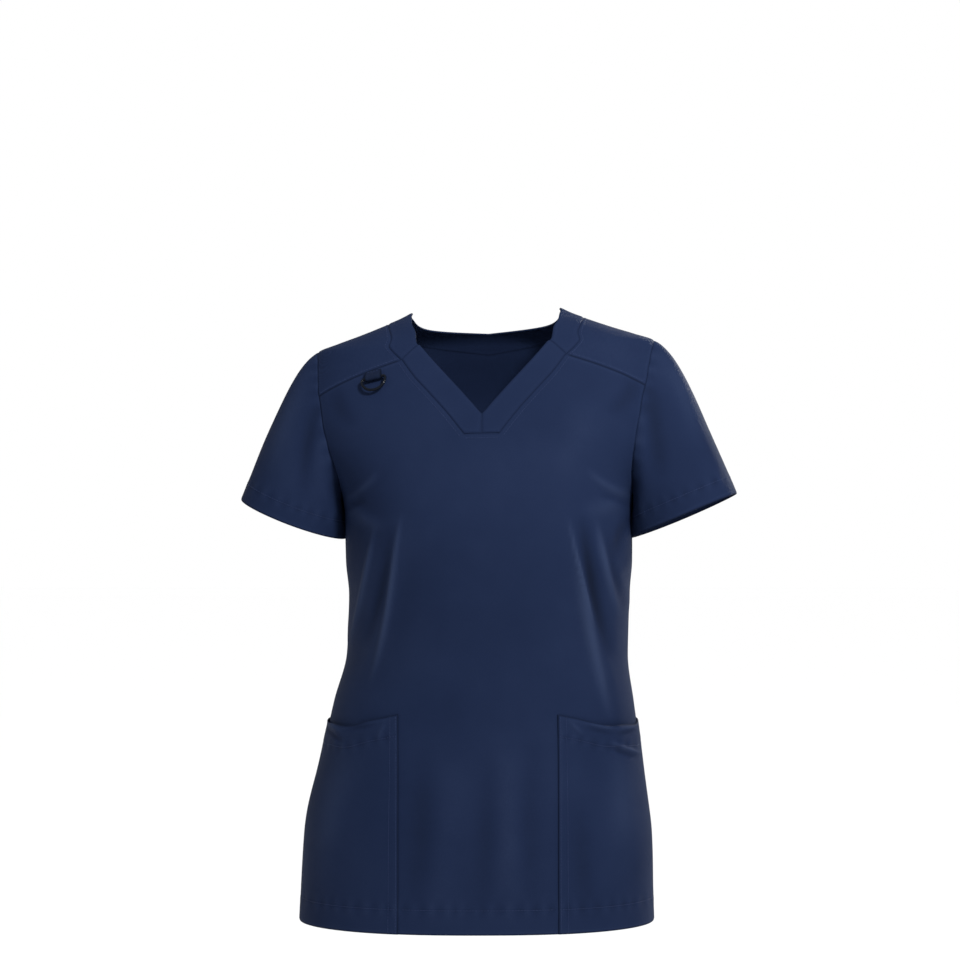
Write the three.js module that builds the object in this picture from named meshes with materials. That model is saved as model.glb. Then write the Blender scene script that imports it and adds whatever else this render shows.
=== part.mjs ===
/*
 * Short-sleeved V-neck scrub top for women, hollow as it is worn, with no wearer.
 * The origin lies midway between the two high shoulder points. +Z is up and the front faces -Y,
 * so the wearer's right side is at -X. All sizes are in millimetres.
 *
 * Most pieces lie on one smooth body surface. A place on it has two numbers: its turn, in degrees
 * from centre front (0) over the side (90) to centre back (180), negative on the wearer's right,
 * and its height z. Each piece is a grid of such places, given a wall of cloth.
 */
import * as THREE from 'three';
import { mergeVertices } from 'three/addons/utils/BufferGeometryUtils.js';

// Cloth and seams
const CLOTH = 1.5;            // wall of a panel
const BAND_CLOTH = 2.2;       // wall of the folded neck band
const BAND_PROUD = 0.5;       // the band stands this much above the panels
const SEAM_GAP = 0.3;         // clear gap between two pieces at a seam

// Heights on the body
const HEM = -640;             // bottom edge
const UNDERARM = -197;        // lowest point of the armholes
const V_POINT = -111;         // lowest point of the neckline
const BACK_YOKE_SEAM = -115;  // level seam across the back

// Armhole: an oval in turn and height
const HOLE = { middle: -117.5, high: 79.5, frontRight: 30.5, frontLeft: 34, back: 28, yoke: 67, backYoke: 88.2 };

// Sleeve hem: an ellipse square to the sleeve, its front tipped up on the left and down on the right
const CUFF = { x: 207, y: -6, z: -218, wide: 58, deep: 52, lean: 22.2, tipLeft: 0.06, tipRight: -0.12, tuck: 1 };

// Patch pockets: where their inner edges hang, and the line of their mouths
const POCKET = { right: -89, left: 73.5, top: -418, dip: 9, sideDrop: 11, cloth: 1.4, gape: 2.2, mouth: 55 };

// Ring and its loop of tape, placed on the wearer's right front under the yoke seam
const RING = { x: -113, z: -71, wire: 3, radius: 12.6, drop: 2, tilt: 12, lift: 3.7, rest: -3 };
const TAPE = { wide: 17, thick: 1, clear: 0.45, up: 9.5 };

// Pose of the wearer: chest turned and one shoulder lower, in degrees
const POSE = { turn: 2.7, tilt: 1.9 };

// Grid sizes
const POCKET_ROWS = 8;        // rows from hem to pocket mouth
const WAIST_ROWS = 9;         // rows from pocket mouth to underarm
const INNER_COLUMNS = 5;      // front columns from centre to the pocket's inner edge
const OUTER_COLUMNS = 10;     // front columns from there to the side seam
const CHEST_ROWS = 6;         // front rows from underarm to the foot of the neck band
const LEG_ROWS = 5;           // front rows beside the V
const BACK_COLUMNS = 11;      // columns of half a back
const BACK_HOLE_ROWS = 8;     // back rows beside the armhole
const YOKE_FRONT = 6;         // yoke lines from the front seam to the shoulder ridge
const YOKE_REAR = 8;          // yoke lines from the ridge to the back seam
const YOKE_ROWS = 6;          // yoke rows from the neck outwards
const SLEEVE_ROWS = 10;       // rows from armhole to cuff

const RAD = Math.PI / 180;

// A table of named columns. at() reads a column at a key through a smooth curve with no overshoot.
function table(names, rows) {
  return names.split(' ').reduce((t, name, i) => ({ ...t, [name]: rows.map((row) => row[i]) }), {});
}

function at(t, name, key, value) {
  const xs = t[key];
  const ys = t[name];
  const flip = xs[0] > xs[xs.length - 1] ? -1 : 1;
  let i = 0;
  while (i < xs.length - 2 && flip * value > flip * xs[i + 1]) i++;
  const slope = (k) => (ys[k + 1] - ys[k]) / (xs[k + 1] - xs[k]);
  const tangent = (k) => {
    if (k === 0) return slope(0);
    if (k === xs.length - 1) return slope(k - 1);
    const [a, b] = [slope(k - 1), slope(k)];
    return a * b <= 0 ? 0 : (2 * a * b) / (a + b);
  };
  const step = xs[i + 1] - xs[i];
  const s = Math.min(1, Math.max(0, (value - xs[i]) / step));
  const [m0, m1] = [tangent(i) * step, tangent(i + 1) * step];
  const s2 = s * s;
  const s3 = s2 * s;
  return (2 * s3 - 3 * s2 + 1) * ys[i] + (s3 - 2 * s2 + s) * m0
    + (3 * s2 - 2 * s3) * ys[i + 1] + (s3 - s2) * m1;
}

// Level sections of the body: half width, depth in front and behind of the middle, and the power
// of the oval, 2 for an ellipse and more for a squarer one. Down to z -38 half is the shoulder ridge.
const BODY = table('z half front back mid power', [
  [8, 62, 3, 3, 8, 2.0],
  [0, 78, 12, 14, 8, 2.0],
  [-6, 90, 25, 31, 8, 2.0],
  [-15, 113, 38, 46, 7, 2.0],
  [-23, 135, 46, 60, 7, 2.0],
  [-30, 156, 51, 66, 7, 2.0],
  [-38, 177, 55, 71, 6, 2.0],
  [-50, 184, 62, 76, 6, 2.0],
  [-65, 190, 71, 82, 6, 2.08],
  [-85, 194.5, 82, 89, 6, 2.15],
  [-111, 193, 94, 96, 5, 2.2],
  [-137, 184.5, 103, 100, 5, 2.25],
  [-160, 172, 110, 102, 5, 2.3],
  [-180, 160.5, 115, 102, 5, 2.35],
  [-197, 153.5, 119, 101, 5, 2.4],
  [-215, 151, 122, 98, 5, 2.4],
  [-232, 150.5, 124, 95, 5, 2.4],
  [-264, 150, 126, 87, 5, 2.4],
  [-300, 147, 127, 79, 5, 2.4],
  [-360, 148, 122, 74, 5, 2.4],
  [-411, 157.5, 121, 80, 5, 2.35],
  [-474, 169, 124, 95, 5, 2.3],
  [-548, 181, 130, 106, 5, 2.3],
  [-645, 185.5, 134, 108, 5, 2.3],
]);

// The neckline and the outer edge of its band, from the front yoke seam (run 0) over the
// shoulder ridge (0.5) to centre back (1), as turns and heights
const NECK = table('run edgeTurn edgeZ seamTurn seamZ', [
  [0, 23.2, -36, 27.6, -51],
  [0.2, 34, -21, 40, -28.5],
  [0.36, 63, -5, 66, -14.5],
  [0.5, 90, 0, 90, -11],
  [0.64, 118, -5.5, 119, -16],
  [0.82, 150, -17, 151, -31],
  [1, 180, -22, 180, -44],
]);

// The V: neckline and outer edge of the band from the foot (run 0) to the yoke seam (run 1)
const VEE = table('run edgeX edgeZ seamX seamZ', [
  [0, 8, -102, 18, -131],
  [0.25, 23, -85, 38, -106],
  [0.5, 39, -67.5, 56, -86],
  [0.75, 54, -51, 72, -68.5],
  [1, 66.9, -36, 84.9, -51],
]);

// Large soft folds: face -1 front and 1 back, both ends seen from the front, sideways bow,
// half width and height
const FOLDS = table('face x0 z0 x1 z1 bow wide high', [
  [-1, 88, -222, 132, -395, -5, 11, 3.4],
  [-1, 118, -226, 146, -318, -3, 9, 2.4],
  [-1, -84, -216, -126, -385, 6, 11, 2.8],
  [-1, -112, -230, -146, -352, 4, 10, 3.2],
  [-1, 112, -92, 70, -176, 8, 16, 1.8],
  [-1, 18, -430, 34, -620, 4, 20, 2.4],
  [-1, -30, -470, -44, -640, 2, 18, 2.2],
  [1, 96, -215, 40, -330, 10, 13, 3.0],
  [1, -88, -228, -36, -322, -12, 12, 2.6],
  [1, 62, -300, 104, -420, 4, 14, 2.8],
  [1, -70, -312, -100, -440, -6, 13, 3.1],
  [1, 20, -440, 40, -632, 6, 22, 3.0],
  [1, -44, -455, -66, -640, -4, 20, 2.6],
]);

// Pose of the wearer: sideways shift of the middle, with the weight on the right leg
const SWAY = table('z shift', [
  [0, 0],
  [-120, 0],
  [-200, 3],
  [-300, 3.4],
  [-360, 2],
  [-411, -1.5],
  [-474, -5],
  [-530, -8],
  [-645, -9.5],
]);

function bodyPoint(turn, z) {
  const a = Math.abs(turn) * RAD;
  const power = 2 / at(BODY, 'power', 'z', z);
  const c = Math.cos(a);
  const depth = at(BODY, c > 0 ? 'front' : 'back', 'z', z);
  const x = at(BODY, 'half', 'z', z) * Math.max(0, Math.sin(a)) ** power;
  const y = at(BODY, 'mid', 'z', z) - Math.sign(c) * depth * Math.abs(c) ** power;
  return new THREE.Vector3(turn < 0 ? -x : x, y, z);
}

function bodyNormal(turn, z) {
  const side = turn < 0 ? -1 : 1;
  const around = bodyPoint(turn + side, z).sub(bodyPoint(turn - side, z));
  if (Math.abs(turn) < 1) around.set(side, 0, 0);
  if (Math.abs(turn) > 179) around.set(-side, 0, 0);
  const up = bodyPoint(turn, z + 1).sub(bodyPoint(turn, z - 1));
  return around.cross(up).multiplyScalar(side).normalize();
}

// The turn of the front surface at a width x and height z
function turnAt(x, z) {
  const share = Math.abs(x) / at(BODY, 'half', 'z', z);
  return Math.sign(x) * Math.asin(Math.min(1, share) ** (at(BODY, 'power', 'z', z) / 2)) / RAD;
}

function foldHeight(p) {
  const face = p.y < 5 ? -1 : 1;
  let sum = 0;
  for (let i = 0; i < FOLDS.face.length; i++) {
    if (FOLDS.face[i] !== face) continue;
    const dx = FOLDS.x1[i] - FOLDS.x0[i];
    const dz = FOLDS.z1[i] - FOLDS.z0[i];
    const long = Math.hypot(dx, dz);
    const t = ((p.x - FOLDS.x0[i]) * dx + (p.z - FOLDS.z0[i]) * dz) / long ** 2;
    if (t <= 0 || t >= 1) continue;
    const off = ((p.x - FOLDS.x0[i]) * dz - (p.z - FOLDS.z0[i]) * dx) / long
      + FOLDS.bow[i] * Math.sin(Math.PI * t);
    sum += FOLDS.high[i] * Math.exp(-((off / FOLDS.wide[i]) ** 2)) * Math.sin(Math.PI * t);
  }
  const bust = Math.exp(-(Math.abs(p.x / 112) ** 5) - ((p.z + 238) / 62) ** 2);
  return sum + (face < 0 ? 8 * bust : 0);
}

const smooth = (a, b, v) => THREE.MathUtils.smoothstep(v, a, b);

function pose(p) {
  const turn = POSE.turn * RAD * smooth(-480, -200, p.z);
  const x = p.x * Math.cos(turn) + p.y * Math.sin(turn);
  const y = p.y * Math.cos(turn) - p.x * Math.sin(turn);
  const tilt = Math.tan(POSE.tilt * RAD) * smooth(-260, -90, p.z);
  return new THREE.Vector3(x + at(SWAY, 'shift', 'z', p.z), y, p.z + x * tilt);
}

// A place of the cloth, as far outside the panels as lift says, with the way out of the cloth
function clothPoint([turn, z], lift = 0) {
  const p = bodyPoint(turn, z);
  const way = bodyNormal(turn, z);
  p.addScaledVector(way, foldHeight(p) + lift);
  const posed = pose(p);
  posed.out = pose(p.clone().add(way)).sub(posed).normalize();
  return posed;
}

const steps = (a, b, n) => Array.from({ length: n + 1 }, (_, i) => a + ((b - a) * i) / n);
const mix = (p, q, t) => p.map((v, i) => v + (q[i] - v) * t);
const onSide = (side, place) => [side * place[0], place[1]];

// A wall of cloth. Each grid is a list of rows of outer points. Its edges are drawn in by half
// the seam gap, and the inner face lies one thickness inside, so that two pieces keep parallel
// edges where they meet.
function wall(grids, thickness) {
  const points = [];
  const faces = [];
  const seen = new Map();
  const number = (p) => {
    const key = p.toArray().map((v) => Math.round(v * 200)).join();
    if (!seen.has(key)) seen.set(key, points.push(Object.assign(p.clone(), { out: p.out })) - 1);
    return seen.get(key);
  };
  for (const rows of grids) {
    for (let r = 0; r + 1 < rows.length; r++) {
      for (let c = 0; c + 1 < rows[r].length; c++) {
        const [p, q] = [number(rows[r][c]), number(rows[r][c + 1])];
        const [s, t] = [number(rows[r + 1][c]), number(rows[r + 1][c + 1])];
        const even = points[p].distanceTo(points[t]) <= points[q].distanceTo(points[s]);
        for (const face of even ? [[p, q, t], [p, t, s]] : [[p, q, s], [q, t, s]]) {
          if (new Set(face).size === 3) faces.push(face);
        }
      }
    }
  }
  const edges = new Map();
  const normals = points.map(() => new THREE.Vector3());
  for (const face of faces) {
    const [a, b, c] = face.map((i) => points[i]);
    const area = b.clone().sub(a).cross(c.clone().sub(a));
    face.forEach((i, k) => {
      normals[i].add(area);
      edges.set(`${i} ${face[(k + 1) % 3]}`, [i, face[(k + 1) % 3]]);
    });
  }
  normals.forEach((n) => n.normalize());
  const rim = [...edges.values()].filter(([i, j]) => !edges.has(`${j} ${i}`));
  const inwards = new Map();
  for (const [i, j] of rim) {
    const along = points[j].clone().sub(points[i]);
    for (const k of [i, j]) {
      const way = normals[k].clone().cross(along).normalize();
      inwards.set(k, [...(inwards.get(k) ?? []), way]);
    }
  }
  for (const [k, [first, second]] of inwards) {
    const way = first.clone().add(second);
    points[k].addScaledVector(way, SEAM_GAP / 2 / Math.max(0.35, 1 + first.dot(second)));
  }
  const inner = points.map((p, i) => p.clone().addScaledVector(p.out ?? normals[i], -thickness));
  const total = points.length;
  const index = faces.flatMap(([a, b, c]) => [a, b, c, a + total, c + total, b + total]);
  for (const [i, j] of rim) index.push(j, i, i + total, j, i + total, j + total);
  const geometry = new THREE.BufferGeometry().setFromPoints([...points, ...inner]);
  geometry.setIndex(index);
  return geometry;
}

const place = (rows, lift) => rows.map((row) => row.map((p) => clothPoint(p, lift)));

function mesh(name, geometry, material) {
  const made = new THREE.Mesh(geometry, material);
  made.name = name;
  return made;
}

// Edges that two pieces share, for the side given by its sign
function armhole(angle, side) {
  const front = side > 0 ? HOLE.frontLeft : HOLE.frontRight;
  const reach = (angle > 0 ? -front : HOLE.back) * Math.abs(Math.sin(angle * RAD));
  return [90 + reach, HOLE.middle + HOLE.high * Math.cos(angle * RAD)];
}
const neck = (kind, run) => [at(NECK, `${kind}Turn`, 'run', run), at(NECK, `${kind}Z`, 'run', run)];
const vee = (kind, run) => {
  if (run === 1) return neck(kind, 0);
  const z = at(VEE, `${kind}Z`, 'run', run);
  return [turnAt(at(VEE, `${kind}X`, 'run', run), z), z];
};
const frontAngles = steps(180, HOLE.yoke, CHEST_ROWS + LEG_ROWS);
const yokeAngles = [...steps(HOLE.yoke, 0, YOKE_FRONT), ...steps(0, -HOLE.backYoke, YOKE_REAR).slice(1)];
const backAngles = steps(-HOLE.backYoke, -180, BACK_HOLE_ROWS);
const levels = [...steps(HEM, POCKET.top, POCKET_ROWS), ...steps(POCKET.top, UNDERARM, WAIST_ROWS).slice(1)];
const FOOT = vee('seam', 0);
const footShare = (side) => FOOT[0] / armhole(frontAngles[CHEST_ROWS], side)[0];

// Columns of the front as shares of its turn: one follows the pocket's inner edge
function frontShares(z, side) {
  const level = Math.min(z, POCKET.top);
  const x = (side < 0 ? POCKET.right : POCKET.left) - at(SWAY, 'shift', 'z', level);
  const edge = Math.abs(turnAt(x, level)) / 90;
  return [0, ...steps(footShare(side), edge, INNER_COLUMNS - 1), ...steps(edge, 1, OUTER_COLUMNS).slice(1)];
}

// Front: rows from the hem to the foot of the band, then a leg on each side of the V
function frontPanel() {
  const half = (side) => {
    const shares = frontShares(UNDERARM, side);
    const lower = levels.map((z) => frontShares(z, side).map((u) => [90 * u, z]));
    const chest = steps(UNDERARM, FOOT[1], CHEST_ROWS).map((centre, r) => {
      const [turn, z] = armhole(frontAngles[r], side);
      return shares.map((u) => [turn * u, centre + (z - centre) * u ** 1.6]);
    });
    const leg = steps(0, 1, LEG_ROWS).map((run, r) => {
      if (r === 0) return chest[CHEST_ROWS].slice(1);
      const inner = vee('seam', run);
      const outer = armhole(frontAngles[CHEST_ROWS + r], side);
      return shares.slice(1).map((share) => {
        const u = (share - footShare(side)) / (1 - footShare(side));
        return [inner[0] + (outer[0] - inner[0]) * u, inner[1] + (outer[1] - inner[1]) * u ** (1.6 - 0.6 * run)];
      });
    });
    const body = [...lower, ...chest.slice(1)];
    return [body, leg].map((rows) => place(rows.map((row) => {
      const turned = row.map((p) => onSide(side, p));
      return side < 0 ? turned.reverse() : turned;
    })));
  };
  return wall([...half(-1), ...half(1)], CLOTH);
}

// Back: rows from the hem to the level yoke seam, across from the wearer's left to the right
function backPanel() {
  const shares = steps(-1, 1, 2 * BACK_COLUMNS);
  const across = (turn, z) => shares.map((u) => {
    const away = 180 - (180 - turn) * Math.abs(u);
    return [u < 0 ? away : -away, z];
  });
  const lower = levels.map((z) => across(90, z));
  const upper = [...backAngles].reverse().slice(1).map((angle) => across(...armhole(angle)));
  return wall([place([...lower, ...upper])], CLOTH);
}

// Yoke: lines from the neck band outwards, from one front seam round the back to the other
function yokeLines(side) {
  const rear = YOKE_FRONT + YOKE_REAR;
  const corner = armhole(-HOLE.backYoke);
  const runs = [...steps(0, 0.5, YOKE_FRONT), ...steps(0.5, 0.74, YOKE_REAR).slice(1)];
  const over = runs.map((run, k) => ({ run, outer: armhole(yokeAngles[k], side) }));
  const behind = steps(0, 1, BACK_COLUMNS).slice(1).map((t) => (
    { run: 0.74 + 0.26 * t, outer: [corner[0] + (180 - corner[0]) * t, BACK_YOKE_SEAM] }));
  over[rear].outer = [corner[0], BACK_YOKE_SEAM];
  return [...over, ...behind];
}

function yokePiece() {
  const fan = (side) => steps(0, 1, YOKE_ROWS).map((t) => (
    yokeLines(side).map(({ run, outer }) => onSide(side, mix(neck('seam', run), outer, t)))));
  const left = fan(1);
  const right = fan(-1).map((row) => row.reverse());
  return wall([place(left).reverse(), place(right).reverse()], CLOTH);
}

// Neck band: two straight fronts that meet at the V, and one piece round the back of the neck
function frontBand(side) {
  const foot = [[0, V_POINT], [0, FOOT[1]]];
  const rows = [foot, ...steps(0, 1, LEG_ROWS).map((run) => [vee('edge', run), vee('seam', run)])];
  const grid = rows.map(([edge, seam]) => steps(0, 1, 2).map((t) => onSide(side, mix(edge, seam, t))));
  return wall([place(side > 0 ? grid : grid.map((row) => row.reverse()), BAND_PROUD)], BAND_CLOTH);
}

function backBand() {
  const runs = yokeLines(1).map(({ run }) => run);
  const ring = (side) => runs.map((run) => (
    steps(0, 1, 2).map((t) => onSide(side, mix(neck('edge', run), neck('seam', run), t)))));
  const right = ring(-1).map((row) => row.reverse());
  return wall([place(ring(1), BAND_PROUD), place(right, BAND_PROUD)], BAND_CLOTH);
}

// Sleeve: curves from the armhole to the cuff, each leaving along its own slope
function sleeve(side) {
  const lean = CUFF.lean * RAD;
  const axis = new THREE.Vector3(Math.sin(lean), -0.05, -Math.cos(lean)).normalize();
  const across = new THREE.Vector3(Math.cos(lean), 0, Math.sin(lean));
  const angles = [...frontAngles, ...yokeAngles.slice(1), ...backAngles.slice(1)];
  const middle = bodyPoint(90, HOLE.middle).setX(165);
  const columns = angles.map((angle) => {
    const a = angle * RAD;
    const [turn, z] = armhole(angle, side);
    const start = bodyPoint(turn, z);
    start.addScaledVector(middle.clone().sub(start).setX(0).normalize(), 0.3);
    start.x += 0.5;
    const low = ((1 - Math.cos(a)) / 2) ** 4;
    const end = new THREE.Vector3(CUFF.x, CUFF.y, CUFF.z).addScaledVector(across, CUFF.wide * Math.cos(a));
    end.x -= CUFF.tuck * low;
    end.y -= CUFF.deep * Math.sin(a);
    end.z -= (side < 0 ? CUFF.tipRight : CUFF.tipLeft) * (end.y - CUFF.y);
    const slope = (38 + 26 * Math.cos(a) - 2 * low) * RAD;
    const leave = new THREE.Vector3(Math.sin(slope), -0.12 * Math.sin(a), -Math.cos(slope)).normalize();
    const long = start.distanceTo(end);
    return new THREE.CubicBezierCurve3(
      start,
      start.clone().addScaledVector(leave, long * (0.2 - 0.06 * Math.cos(a))),
      end.clone().addScaledVector(axis, -long * (0.45 + 0.18 * Math.cos(a))),
      end,
    );
  });
  const rows = steps(0, 1, SLEEVE_ROWS).map((t) => columns.map((curve) => {
    const p = curve.getPoint(t);
    p.x *= side;
    return pose(p);
  }));
  return wall([side > 0 ? rows.reverse() : rows], CLOTH);
}

// Patch pocket: the front's own places, moved out, with a mouth that stands off a little
function pocket(side) {
  const cells = steps(0, 1, OUTER_COLUMNS).map((u, c) => levels.slice(0, POCKET_ROWS + 1).map((level, r) => {
    const top = POCKET.top - POCKET.dip * Math.sin(Math.PI * u) - POCKET.sideDrop * u;
    const z = r < POCKET_ROWS ? level : top;
    const turn = 90 * frontShares(z, side)[INNER_COLUMNS + c];
    const gape = POCKET.gape * Math.sin(Math.PI * u) ** 2 * smooth(top - POCKET.mouth, top, z);
    return clothPoint([side * turn, z], SEAM_GAP + POCKET.cloth + gape);
  }));
  return wall([side < 0 ? cells : cells.reverse()], POCKET.cloth);
}

// Frame on the cloth under the ring: along its bar, down the cloth and out of it
function ringFrame() {
  const spot = (x, z) => clothPoint([turnAt(x, z), z]);
  const along = spot(RING.x + 2, RING.z).sub(spot(RING.x - 2, RING.z)).normalize();
  const down = spot(RING.x, RING.z - 2).sub(spot(RING.x, RING.z + 2)).normalize();
  const out = down.clone().cross(along).normalize();
  along.applyAxisAngle(out, RING.tilt * RAD);
  const centre = spot(RING.x, RING.z).addScaledVector(out, RING.lift);
  return new THREE.Matrix4().makeBasis(along, out.clone().cross(along), out).setPosition(centre);
}

// Ring: round wire along a D, a straight bar above and an arc below
function ring() {
  const corner = 2.5;
  const { radius, drop } = RING;
  const line = new THREE.Path();
  line.moveTo(-radius, -drop - 0.5);
  line.absarc(corner - radius, -corner, corner, Math.PI, Math.PI / 2, true);
  line.absarc(radius - corner, -corner, corner, Math.PI / 2, 0, true);
  line.absarc(0, -drop - 0.5, radius, 0, -Math.PI, true);
  const path = line.getSpacedPoints(40).slice(0, -1);
  const sides = 10;
  const points = path.flatMap((p, i) => {
    const ahead = path[(i + 1) % path.length];
    const behind = path[(i + path.length - 1) % path.length];
    const across = ahead.clone().sub(behind).normalize().rotateAround(new THREE.Vector2(), Math.PI / 2);
    return Array.from({ length: sides }, (_, k) => {
      const a = (2 * Math.PI * k) / sides;
      const r = RING.wire / 2;
      return new THREE.Vector3(p.x + across.x * r * Math.cos(a), p.y + across.y * r * Math.cos(a), r * Math.sin(a));
    });
  });
  const index = path.flatMap((_, i) => Array.from({ length: sides }, (__, k) => {
    const [a, b] = [i * sides, ((i + 1) % path.length) * sides];
    const next = (k + 1) % sides;
    return [a + k, a + next, b + next, a + k, b + next, b + k];
  }).flat());
  const geometry = new THREE.BufferGeometry().setFromPoints(points);
  geometry.setIndex(index);
  geometry.rotateX(RING.rest * RAD);
  return geometry.applyMatrix4(ringFrame());
}

// Loop of tape: side profile of a strip folded round the bar and run up to the yoke seam
function tapeLoop() {
  const hole = RING.wire / 2 + TAPE.clear;
  const out = hole + TAPE.thick;
  const back = -out;
  const shape = new THREE.Shape();
  shape.moveTo(TAPE.up, back);
  shape.lineTo(TAPE.up, back + 2 * TAPE.thick + 0.2);
  shape.lineTo(3, out * 0.82);
  shape.absarc(0, 0, out, Math.atan2(out * 0.82, 2), 1.5 * Math.PI, false);
  shape.closePath();
  const gap = new THREE.Path();
  gap.absarc(0, 0, hole, 0, 2 * Math.PI, true);
  shape.holes.push(gap);
  const geometry = new THREE.ExtrudeGeometry(shape, { depth: TAPE.wide, bevelEnabled: false, curveSegments: 10 });
  geometry.translate(0, 0, -TAPE.wide / 2);
  geometry.applyMatrix4(new THREE.Matrix4().makeBasis(
    new THREE.Vector3(0, 1, 0), new THREE.Vector3(0, 0, 1), new THREE.Vector3(1, 0, 0)));
  return geometry.applyMatrix4(ringFrame());
}

function closed(geometry) {
  geometry.deleteAttribute('normal');
  geometry.deleteAttribute('uv');
  return mergeVertices(geometry, 1e-4);
}

const cloth = (colour) => new THREE.MeshStandardMaterial({ color: colour, roughness: 0.85, metalness: 0 });
const NAVY = cloth(0x25324f);
const DEEP_NAVY = cloth(0x1f2b47);
const BLACK_METAL = new THREE.MeshStandardMaterial({ color: 0x101114, roughness: 0.3, metalness: 0.9 });

const top = new THREE.Group();
top.add(mesh('front', frontPanel(), NAVY));
top.add(mesh('back', backPanel(), NAVY));
top.add(mesh('yoke', yokePiece(), NAVY));
top.add(mesh('band_front_right', frontBand(-1), NAVY));
top.add(mesh('band_front_left', frontBand(1), NAVY));
top.add(mesh('band_back', backBand(), NAVY));
top.add(mesh('sleeve_right', sleeve(-1), NAVY));
top.add(mesh('sleeve_left', sleeve(1), NAVY));
top.add(mesh('pocket_right', pocket(-1), NAVY));
top.add(mesh('pocket_left', pocket(1), NAVY));
top.add(mesh('ring_loop', closed(tapeLoop()), DEEP_NAVY));
top.add(mesh('d_ring', ring(), BLACK_METAL));

export default top;
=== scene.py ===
import bpy
import numpy as np
from mathutils import Matrix, Vector
from mathutils.bvhtree import BVHTree
from mathutils.kdtree import KDTree


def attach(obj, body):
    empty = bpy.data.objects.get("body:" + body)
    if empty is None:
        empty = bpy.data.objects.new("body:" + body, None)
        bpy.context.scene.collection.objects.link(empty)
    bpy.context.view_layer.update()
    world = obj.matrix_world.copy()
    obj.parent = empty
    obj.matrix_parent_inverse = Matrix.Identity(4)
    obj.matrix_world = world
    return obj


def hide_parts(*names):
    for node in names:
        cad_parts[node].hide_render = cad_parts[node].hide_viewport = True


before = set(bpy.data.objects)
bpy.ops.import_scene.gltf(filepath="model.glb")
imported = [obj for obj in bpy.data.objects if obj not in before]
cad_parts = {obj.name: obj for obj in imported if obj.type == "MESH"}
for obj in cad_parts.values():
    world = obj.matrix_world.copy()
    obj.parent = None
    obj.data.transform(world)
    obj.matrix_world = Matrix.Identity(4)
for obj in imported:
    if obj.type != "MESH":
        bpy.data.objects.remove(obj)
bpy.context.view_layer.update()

# A women's scrub top, hollow as it is worn, front towards -Y and the wearer's right at -X.
# Its cut is worked out in millimetres, as a maker's pattern is, and laid down in metres.
MM = 0.001


# Camera, floor and light: the camera is level with the chest and far off, so the top is seen almost
# flat. It is white all round, with one lamp in front at the upper right and one behind.
CAMERA_AT = (-0.006, -3.26, -0.179)
CAMERA_LENS = 116.1
FLOOR, FLOOR_WIDE = -1.35, 60
LAMP_WIDE = 0.4
LIT_PLACE = Vector((0, 0, -0.25))

camera_data = bpy.data.cameras.new("camera")
camera_data.lens = CAMERA_LENS
camera_data.sensor_width = 36
camera_data.clip_end = 60
camera = bpy.data.objects.new("camera", camera_data)
camera.location = CAMERA_AT
camera.rotation_euler = (np.pi / 2, 0, 0)
bpy.context.scene.collection.objects.link(camera)
bpy.context.scene.camera = camera
bpy.context.scene.view_settings.view_transform = "Standard"

world = bpy.data.worlds.new("studio")
world.use_nodes = True
world.node_tree.nodes["Background"].inputs["Color"].default_value = (1, 1, 1, 1)
world.node_tree.nodes["Background"].inputs["Strength"].default_value = 1.0
bpy.context.scene.world = world


def soft_light(name, at, watts):
    data = bpy.data.lights.new(name, "AREA")
    data.shape = "DISK"
    data.size = LAMP_WIDE
    data.energy = watts
    lamp = bpy.data.objects.new(name, data)
    lamp.location = at
    lamp.rotation_euler = (LIT_PLACE - Vector(at)).to_track_quat("-Z", "Y").to_euler()
    bpy.context.scene.collection.objects.link(lamp)


soft_light("key", (0.8, -1.4, 1.1), 82)
soft_light("back", (1.5, 2.1, 0.9), 75)

bpy.ops.mesh.primitive_grid_add(
    x_subdivisions=2, y_subdivisions=2, size=FLOOR_WIDE, location=(0, 0, FLOOR))
floor = bpy.context.object
floor.name = "floor"
floor_paint = bpy.data.materials.new("floor")
floor_paint.use_nodes = True
floor_paint.node_tree.nodes["Principled BSDF"].inputs["Base Color"].default_value = (1, 1, 1, 1)
floor_paint.node_tree.nodes["Principled BSDF"].inputs["Roughness"].default_value = 0.9
floor.data.materials.append(floor_paint)


# Front panel: one piece of stretch twill from hem to yoke seam, with a V cut at the top.
# It lies on one smooth body surface that the other panels share. A place on that surface has
# a turn, in degrees from centre front (0) over the side (90) to centre back (180), and a height.
def table(names, rows):
    """Columns of a table by their names."""
    return dict(zip(names.split(), np.array(rows, dtype=float).T))


def read(columns, name, key, at):
    """Reads a column at a key through a smooth curve that doesn't overshoot its rows."""
    x, y = columns[key], columns[name]
    if x[0] > x[-1]:
        x, y = x[::-1], y[::-1]
    step = np.diff(x)
    slope = np.diff(y) / step
    both = slope[:-1] * slope[1:]
    total = np.where(both > 0, slope[:-1] + slope[1:], 1)
    tangent = np.concatenate([slope[:1], np.where(both > 0, 2 * both / total, 0), slope[-1:]])
    at = np.asarray(at, dtype=float)
    i = np.clip(np.searchsorted(x, at) - 1, 0, len(x) - 2)
    s = np.clip((at - x[i]) / step[i], 0, 1)
    s2, s3 = s ** 2, s ** 3
    ends = (2 * s3 - 3 * s2 + 1) * y[i] + (3 * s2 - 2 * s3) * y[i + 1]
    return ends + ((s3 - 2 * s2 + s) * tangent[i] + (s3 - s2) * tangent[i + 1]) * step[i]


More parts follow.
